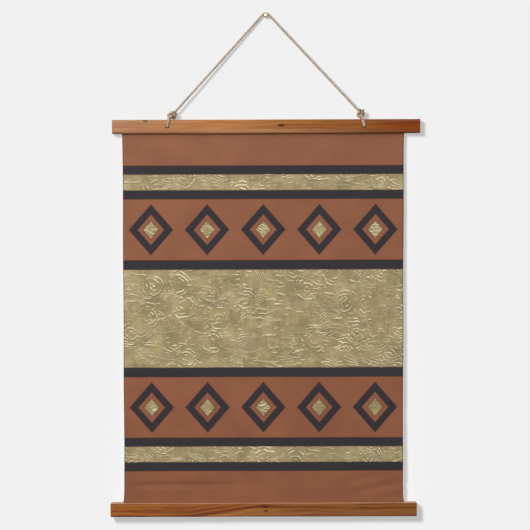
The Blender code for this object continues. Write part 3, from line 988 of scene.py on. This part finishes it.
def band_masks(nodes, down, across):
    """Where the print is charcoal, where it is gold, and how near a seam between two colours is."""
    folded = CLOTH_DROP / 2 - abs(down - CLOTH_DROP / 2)
    soft = 0.0003
    masks = {"charcoal": 0.0, "gold": 0.0}
    seam = 0.0
    start = 0.0
    for end, tone in BANDS:
        inside = folded.step(start - soft, start + soft)
        if end != BANDS[-1][0]:
            inside = inside * folded.step(end + soft, end - soft)
        if tone in masks:
            masks[tone] = masks[tone] + inside
        if start:
            seam = abs(folded - start).step(0.0016, 0.0002).larger(seam)
        start = end
    row_middle = (BANDS[3][0] + BANDS[4][0]) / 2
    pitch = CLOTH_WIDTH / LOZENGES
    aside = abs((nodes.math("FRACT", across / pitch + 0.5) - 0.5) * pitch)
    reach = aside / LOZENGE_HALF[0] + abs(folded - row_middle) / LOZENGE_HALF[1]
    outer, inner, centre = LOZENGE_RINGS
    edge = 0.010
    ring = reach.step(outer + edge, outer - edge) * reach.step(inner - edge, inner + edge)
    heart = reach.step(centre + edge, centre - edge)
    for level in LOZENGE_RINGS:
        seam = abs(reach - level).step(0.055, 0.008).larger(seam)
    return ring.larger(masks["charcoal"]), heart.larger(masks["gold"]), seam


def relief_group():
    """The foil print's relief as a height from about 0 to 1: blooms, leaf fans, ridges and creases."""
    tree = bpy.data.node_groups.new("foil_relief", "ShaderNodeTree")
    tree.interface.new_socket("Vector", in_out="INPUT", socket_type="NodeSocketVector")
    tree.interface.new_socket("Height", in_out="OUTPUT", socket_type="NodeSocketFloat")
    nodes = Nodes(tree)
    place = nodes.make("NodeGroupInput")
    shift = nodes.noise(place, 55.0, output="Color") - (0.5, 0.5, 0.5)
    warped = place + shift * (0.014, 0.010, 0.0)

    def wave(value, length):
        """0 to 1 and back over each length, with sharp crests."""
        half = ((value * (2 * math.pi / length)).sine() + 1.0) * 0.5
        return half * half

    def patches(scale, low, high, most=1.0):
        """Where a broad noise lets a motif show."""
        return nodes.noise(place, scale, 1.0).step(low, high, most)

    # Blooms: broken rings of petals round a middle
    scale = 19.0
    cell = nodes.cells(warped, scale)
    chance = nodes.split(cell["Color"])[0]
    rings = wave(cell["Distance"] / scale, 0.0062) * patches(75.0, 0.38, 0.58)
    blooms = rings * cell["Distance"].step(0.50, 0.34) * chance.step(0.12, 0.22)

    # Leaf fans: thin veins that run together at one end of a leaf
    scale = 27.0
    moved = warped + (0.31, 0.17, 0.0)
    cell = nodes.cells(moved, scale)
    turned, chance, _ = nodes.split(cell["Color"])
    fed = {"Vector": (moved - cell["Position"]) * (scale, scale, 0.0), "Angle": turned * (2 * math.pi)}
    along, aside, _ = nodes.split(nodes.make("ShaderNodeVectorRotate", fed, rotation_type="Z_AXIS"))
    veins = wave(nodes.math("ARCTAN2", aside, along + 0.62), 0.14)
    half = 0.34 - along * along * 0.9
    fans = veins * (half - abs(aside)).step(0.0, 0.10, 0.55) * chance.step(0.15, 0.28)

    # Short ridges across the cloth
    streaks = nodes.noise(warped * (60.0, 250.0, 1.0), 1.0)
    ridges = streaks.step(0.54, 0.70, 0.8) * patches(24.0, 0.34, 0.50)

    # Long creases, which run in pairs
    off_line = abs(nodes.noise(warped * (9.0, 26.0, 1.0), 1.0) - 0.57)
    creases = abs(off_line - 0.012).step(0.008, 0.0) * patches(13.0, 0.44, 0.56, 0.9)

    height = blooms.larger(fans).larger(ridges.larger(creases)) + nodes.noise(place, 60.0) * 0.5
    nodes.feed(tree.nodes.new("NodeGroupOutput").inputs[0], height)
    return tree


def print_material():
    """The canvas's printed face: bands and lozenges in terracotta, charcoal and embossed gold."""
    material, nodes = new_material("printed_canvas", 0.8)
    place = nodes.attribute("print_place")
    across, down, _ = nodes.split(place)
    charcoal, gold, seam = band_masks(nodes, down, across)
    relief = relief_group()

    def height_at(shift):
        return nodes.make("ShaderNodeGroup", {0: place + shift}, node_tree=relief)

    # Terracotta, mottled like hide
    mottle = nodes.noise(place, 16.0, 4.0, 0.55)
    hide = nodes.noise(place, 420.0, 3.0, 0.6)
    terracotta = nodes.coats(linear(*TERRACOTTA), (down.spread(0.0, CLOTH_DROP, 0.0, 1.0), LOWER_TERRACOTTA))
    shade = mottle.spread(0.3, 0.7, 0.90, 1.10)
    terracotta = nodes.coats(
        terracotta * nodes.join(shade, shade, shade),
        (hide.step(0.45, 0.75, 0.16), (188, 138, 112)),
        (hide.step(0.45, 0.25, 0.22), (112, 62, 42)),
    )

    # Charcoal, slightly blue, with a grain
    coal = nodes.coats(linear(50, 47, 51), (hide.step(0.35, 0.65), (61, 58, 63)))

    # Gold foil: lights on the upper sides of its relief and darks on the lower ones
    slope = height_at((-0.0001, 0.0009, 0.0)) - height_at((0.0001, -0.0009, 0.0))
    clouds = nodes.noise(place, 30.0, 3.0, 0.6)
    brushed = nodes.noise(place * (70.0, 900.0, 1.0), 1.0)
    upright = nodes.noise(place * (420.0, 22.0, 1.0), 1.0)
    tone = clouds * 0.6 + brushed * 0.2 + upright * 0.2
    dull, bright = (tuple(v * share for v in GOLD) for share in (0.86, 1.09))
    polished = nodes.noise(place * (38.0, 75.0, 1.0), 1.0, 3.0, 0.6)
    crisp = nodes.noise(place, 42.0, 1.0).spread(0.38, 0.62, 0.30, 1.0)
    foil = nodes.coats(
        linear(*dull),
        (tone.step(0.36, 0.64), bright),
        (polished.step(0.52, 0.70, 0.55), (200, 184, 142)),
        (nodes.noise(place, 20.0).step(0.52, 0.68, 0.45), (176, 153, 122)),
        (slope.step(-0.10, -0.70, 0.42), (118, 101, 62)),
        (slope.step(0.13, 0.56) * crisp, (250, 237, 200)),
    )

    # The three together, darker at the seams and down both sides
    from_side = CLOTH_WIDTH / 2 - abs(across)
    colour = nodes.coats(
        terracotta,
        (charcoal, coal),
        (gold, foil),
        (seam * 0.55, (72, 44, 32)),
        (from_side.step(0.0018, 0.0006, 0.5), (74, 52, 40)),
    )
    normal = nodes.bump(weave_height(nodes, place), 0.00012, 0.6)
    normal = nodes.bump(hide * (1.0 - gold), 0.00030, 0.35, normal)
    normal = nodes.bump(gold * height_at((0.0, 0.0, 0.0)), 0.00025, 0.6, normal)
    nodes.shade(
        {
            "Base Color": colour,
            "Normal": normal,
            "Roughness": gold.spread(0.0, 1.0, 0.85, 0.55),
            "Specular IOR Level": 0.15,
        }
    )
    return material


def weave_height(nodes, place):
    """Plain weave: warp and weft threads that go over and under each other."""
    threads = 2 * math.pi / THREAD_PITCH
    x, y, _ = nodes.split(place)
    return (x * threads).sine() * (y * threads).sine() * 0.5


def back_material():
    """The canvas's plain back and cut edges."""
    material, nodes = new_material("canvas_back", 0.9)
    place = nodes.attribute("print_place")
    slubs = nodes.noise(place * (1.0, 6.0, 1.0), 160.0, 3.0, 0.6)
    streaks = nodes.noise(place * (6.0, 1.0, 1.0), 160.0, 3.0, 0.6)
    threads = (slubs + streaks) * 0.5
    normal = nodes.bump(weave_height(nodes, place), 0.0002, 0.8)
    nodes.shade(
        {
            "Base Color": nodes.coats(linear(214, 206, 190), (threads.step(0.35, 0.65), (234, 228, 215))),
            "Normal": nodes.bump(threads, 0.0002, 0.5, normal),
            "Specular IOR Level": 0.2,
        }
    )
    return material


def held(value, low, high):
    return min(max(value, low), high)


def soft_step(value, middle, width):
    """0 well below the middle and 1 well above it."""
    return 1 / (1 + math.exp(-(value - middle) / width))


def bell(value, middle, width):
    return math.exp(-(((value - middle) / width) ** 2))


def folds(across, over_bar):
    """Toward the wall: a soft dent above the lower bar's left half, slanting ones near its right end."""
    if over_bar < FOLDS_FROM:
        return 0.0
    dent = bell(over_bar, 0.029 + 0.04 * min(across + 0.16, 0.0), 0.0045)
    dent *= (1 - soft_step(across, -0.055, 0.012)) * soft_step(across, -0.215, 0.006)
    slant = over_bar - 0.024 - 0.25 * (across - 0.19)
    ripple = math.cos(2 * math.pi * slant / RIPPLE_LENGTH)
    near_corner = soft_step(across, 0.15, 0.014) * bell(over_bar, 0.026, 0.016)
    return DENT_DEPTH * dent + RIPPLE_DEPTH * ripple * near_corner


def canvas(slats):
    """The canvas sheet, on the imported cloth's middle surface, with finer unevenness."""
    solid = BVHTree.FromObject(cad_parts["cloth_panel"], bpy.context.evaluated_depsgraph_get())
    lowest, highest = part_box("cloth_panel")
    toward_wall = Vector((0, 1, 0))
    clear = 0.1

    def middle_y(x, z):
        """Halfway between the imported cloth's faces, or no number where a ray misses it."""
        front = solid.ray_cast(Vector((x, lowest.y - clear, z)), toward_wall)[0]
        back = solid.ray_cast(Vector((x, highest.y + clear, z)), -toward_wall)[0]
        return (front.y + back.y) / 2 if front and back else np.nan

    distances = [-CLOTH_TUCK * (1 - i / TUCK_ROWS) for i in range(TUCK_ROWS)]
    distances += [CLOTH_DROP * i / CLOTH_ROWS for i in range(CLOTH_ROWS + 1)]
    distances += [CLOTH_DROP + CLOTH_TUCK * (i + 1) / TUCK_ROWS for i in range(TUCK_ROWS)]
    width = CLOTH_COLUMNS + 1
    depth = np.zeros((len(distances), width))
    spots, print_places = [], []
    for row, distance in enumerate(distances):
        share = held(distance / CLOTH_DROP, 0.0, 1.0)
        middle = CLOTH_TOP_X + (LOWER_BAR_X - CLOTH_TOP_X) * share
        left = middle - CLOTH_WIDTH / 2 + draw_in(distance, -1)
        right = middle + CLOTH_WIDTH / 2 - draw_in(distance, 1)
        z = TOP_CLOTH_Z - distance
        probe_z = held(z, lowest.z + PROBE_INSET, highest.z - PROBE_INSET)
        for column in range(width):
            part = column / CLOTH_COLUMNS
            x = left + (right - left) * part
            depth[row, column] = middle_y(middle + (x - middle) * PROBE_SHARE, probe_z)
            spots.append((x, z))
            print_places.append(((part - 0.5) * CLOTH_WIDTH, distance, 0.0))
    for row in depth:
        known = np.isfinite(row)
        row[:] = np.interp(np.arange(width), np.flatnonzero(known), row[known])
    for _ in range(SMOOTHING_ROUNDS):
        inner = depth[1:-1, 1:-1]
        around = depth[:-2, 1:-1] + depth[2:, 1:-1] + depth[1:-1, :-2] + depth[1:-1, 2:]
        inner += 0.5 * (around / 4 - inner)
    points = []
    for index, (x, z) in enumerate(spots):
        row, column = divmod(index, width)
        distance = distances[row]
        from_bar = held(min(distance, CLOTH_DROP - distance) / FLAT_BY_BAR, 0.0, 1.0)
        uneven = 0.00030 * noise.noise(Vector((x * 16, 2.5, z * 11)))
        uneven += 0.00010 * noise.noise(Vector((x * 55, 7.5, z * 40)))
        uneven += (0.0004 + 0.0010 * max(distance, 0)) * noise.noise(Vector((x * 26, 5.5, z * 20)))
        fold = folds(x - LOWER_BAR_X, CLOTH_DROP - distance)
        points.append((x, depth[row, column] + from_bar * uneven + fold, z))
    faces = []
    for row in range(len(distances) - 1):
        for column in range(CLOTH_COLUMNS):
            corner = row * width + column
            quad = (corner, corner + width, corner + width + 1, corner + 1)
            middle = sum((Vector(points[i]) for i in quad), Vector()) / 4
            gaps = [math.hypot(middle.x - knot["hole_x"], middle.z - TOP_BAR_Z) for knot in KNOTS]
            if min(gaps) > PIERCED_RADIUS:
                faces.append(quad)
    materials = [print_material(), back_material()]
    piece = new_object("canvas_sheet", points, faces, materials, {"print_place": print_places})
    thick = piece.modifiers.new("thickness", "SOLIDIFY")
    thick.thickness = CLOTH_THICKNESS
    thick.offset = 0
    thick.material_offset = 1
    thick.material_offset_rim = 1
    apply_modifiers(piece)
    finish_piece(piece, "canvas", "cloth_panel")


# Stage


def wall_material():
    """Matt paint in an even tone. Its glow is the room's own light, and the key light adds the rest.

    The paint is darker where the key light reaches it more, so that the wall shows one tone. Right
    behind the upper bar, where no room light gets, the glow is taken away.
    """
    material = bpy.data.materials.new("wall_paint")
    material.use_nodes = True
    tree = material.node_tree
    tree.nodes.remove(tree.nodes["Principled BSDF"])
    nodes = Nodes(tree)
    place = nodes.place()
    away = nodes.math("DISTANCE", place, KEY_AT)
    aimed_at = (0, 0, CAMERA_AT[2])
    aim = (Vector(aimed_at) - Vector(KEY_AT)).normalized()
    facing = nodes.math("DOT_PRODUCT", place - KEY_AT, tuple(aim)) / away
    falloff = nodes.math("POWER", math.dist(KEY_AT, aimed_at) / away, 3.0)
    tone = WALL_TONE * KEY_SHARE / KEY_ON_WALL / (falloff * facing)
    paint = nodes.make("ShaderNodeBsdfDiffuse", {"Color": nodes.join(tone, tone, tone)})
    x, _, z = nodes.split(place)
    edge = BAR_HEIGHT / 2
    behind_bar = abs(z - TOP_BAR_Z).step(edge - 0.0035, edge - 0.0055) * abs(x).step(0.244, 0.236, GLOW_LOST)
    glow = nodes.make("ShaderNodeEmission", {"Strength": (1.0 - behind_bar) * (WALL_TONE * (1 - KEY_SHARE))})
    both = nodes.make("ShaderNodeAddShader", {0: paint, 1: glow})
    behind = nodes.make("ShaderNodeNewGeometry", output="Backfacing")
    clear = nodes.make("ShaderNodeBsdfTransparent")
    either = nodes.make("ShaderNodeMixShader", {0: behind, 1: both, 2: clear})
    nodes.feed(tree.nodes["Material Output"].inputs["Surface"], either)
    return material


def floor_material():
    """Pale matt paint, with a glow for the room light that the wall doesn't throw on it."""
    material, nodes = new_material("floor_paint", 0.9)
    shade = nodes.noise(nodes.place(), 3.0, 3.0)
    colour = nodes.coats(linear(226, 225, 223), (shade, (232, 231, 229)))
    nodes.shade(
        {
            "Base Color": colour,
            "Emission Color": (1, 1, 1, 1),
            "Emission Strength": FLOOR_GLOW,
            "Specular IOR Level": 0.1,
        }
    )
    return material


def stage():
    """The wall and the floor. The wall throws no light or shadow on the object."""
    low, high = -STAGE_REACH, STAGE_REACH
    square = [(0, 1, 2, 3)]
    corners = [(x, WALL_Y, z) for x, z in ((low, FLOOR_Z), (high, FLOOR_Z), (high, high), (low, high))]
    wall = new_object("wall", corners, square, [wall_material()])
    wall.visible_shadow = False
    wall.visible_diffuse = False
    wall.visible_glossy = False
    wall.visible_transmission = False
    corners = [(x, y, FLOOR_Z) for x, y in ((low, low), (high, low), (high, high), (low, high))]
    floor = new_object("floor", corners, square, [floor_material()])
    floor.visible_diffuse = False
    return wall


def add_light(name, kind, power, aim, lit, **settings):
    """A light along the vector aim that reaches only the collection lit."""
    light = bpy.data.lights.new(name, kind)
    light.energy = power
    for setting, value in settings.items():
        setattr(light, setting, value)
    made = add_object(name, light)
    made.rotation_euler = aim.to_track_quat("-Z", "Y").to_euler()
    made.light_linking.receiver_collection = lit
    return made


def lights(wall):
    """A key light from the upper left and soft fills. The fills leave the wall out, which glows."""
    world = bpy.data.worlds.new("studio")
    world.use_nodes = True
    nodes = Nodes(world.node_tree)
    background = world.node_tree.nodes["Background"]
    diffuse_ray = nodes.make("ShaderNodeLightPath", output="Is Diffuse Ray")
    nodes.feed(background.inputs["Strength"], diffuse_ray.spread(0.0, 1.0, WORLD_TONE, 0.0))
    background.inputs["Color"].default_value = (1, 1, 1, 1)
    bpy.context.scene.world = world
    others = bpy.data.collections.new("all_but_the_wall")
    others.objects.link(wall)
    others.collection_objects[0].light_linking.link_state = "EXCLUDE"
    wall_alone = bpy.data.collections.new("the_wall_alone")
    wall_alone.objects.link(wall)
    aim = Vector((0, 0, CAMERA_AT[2])) - Vector(KEY_AT)
    for name, power, lit in (("key", KEY_POWER, others), ("wall_key", WALL_KEY * KEY_POWER, wall_alone)):
        add_light(name, "AREA", power, aim, lit, size=KEY_SIZE).location = KEY_AT
    for fill in FILLS:
        towards = Vector(fill["towards"])
        add_light(fill["name"], "SUN", fill["strength"], towards, others, angle=math.radians(FILL_ANGLE))


def camera():
    data = bpy.data.cameras.new("camera")
    data.lens = LENS
    data.sensor_width = SENSOR
    data.sensor_fit = "HORIZONTAL"
    data.clip_start = 0.05
    made = add_object("camera", data)
    turn = Matrix.Rotation(math.radians(CAMERA_YAW), 4, "Z")
    turn = turn @ Matrix.Rotation(math.radians(CAMERA_PITCH), 4, "X")
    turn = turn @ Matrix.Rotation(math.radians(CAMERA_ROLL), 4, "Y")
    made.matrix_world = Matrix.Translation(CAMERA_AT) @ turn @ Matrix.Rotation(math.pi / 2, 4, "X")
    bpy.context.scene.camera = made
    bpy.context.scene.view_settings.view_transform = "Standard"


camera()
cord_and_knots()
wall_nail()
canvas(bars())
lights(stage())
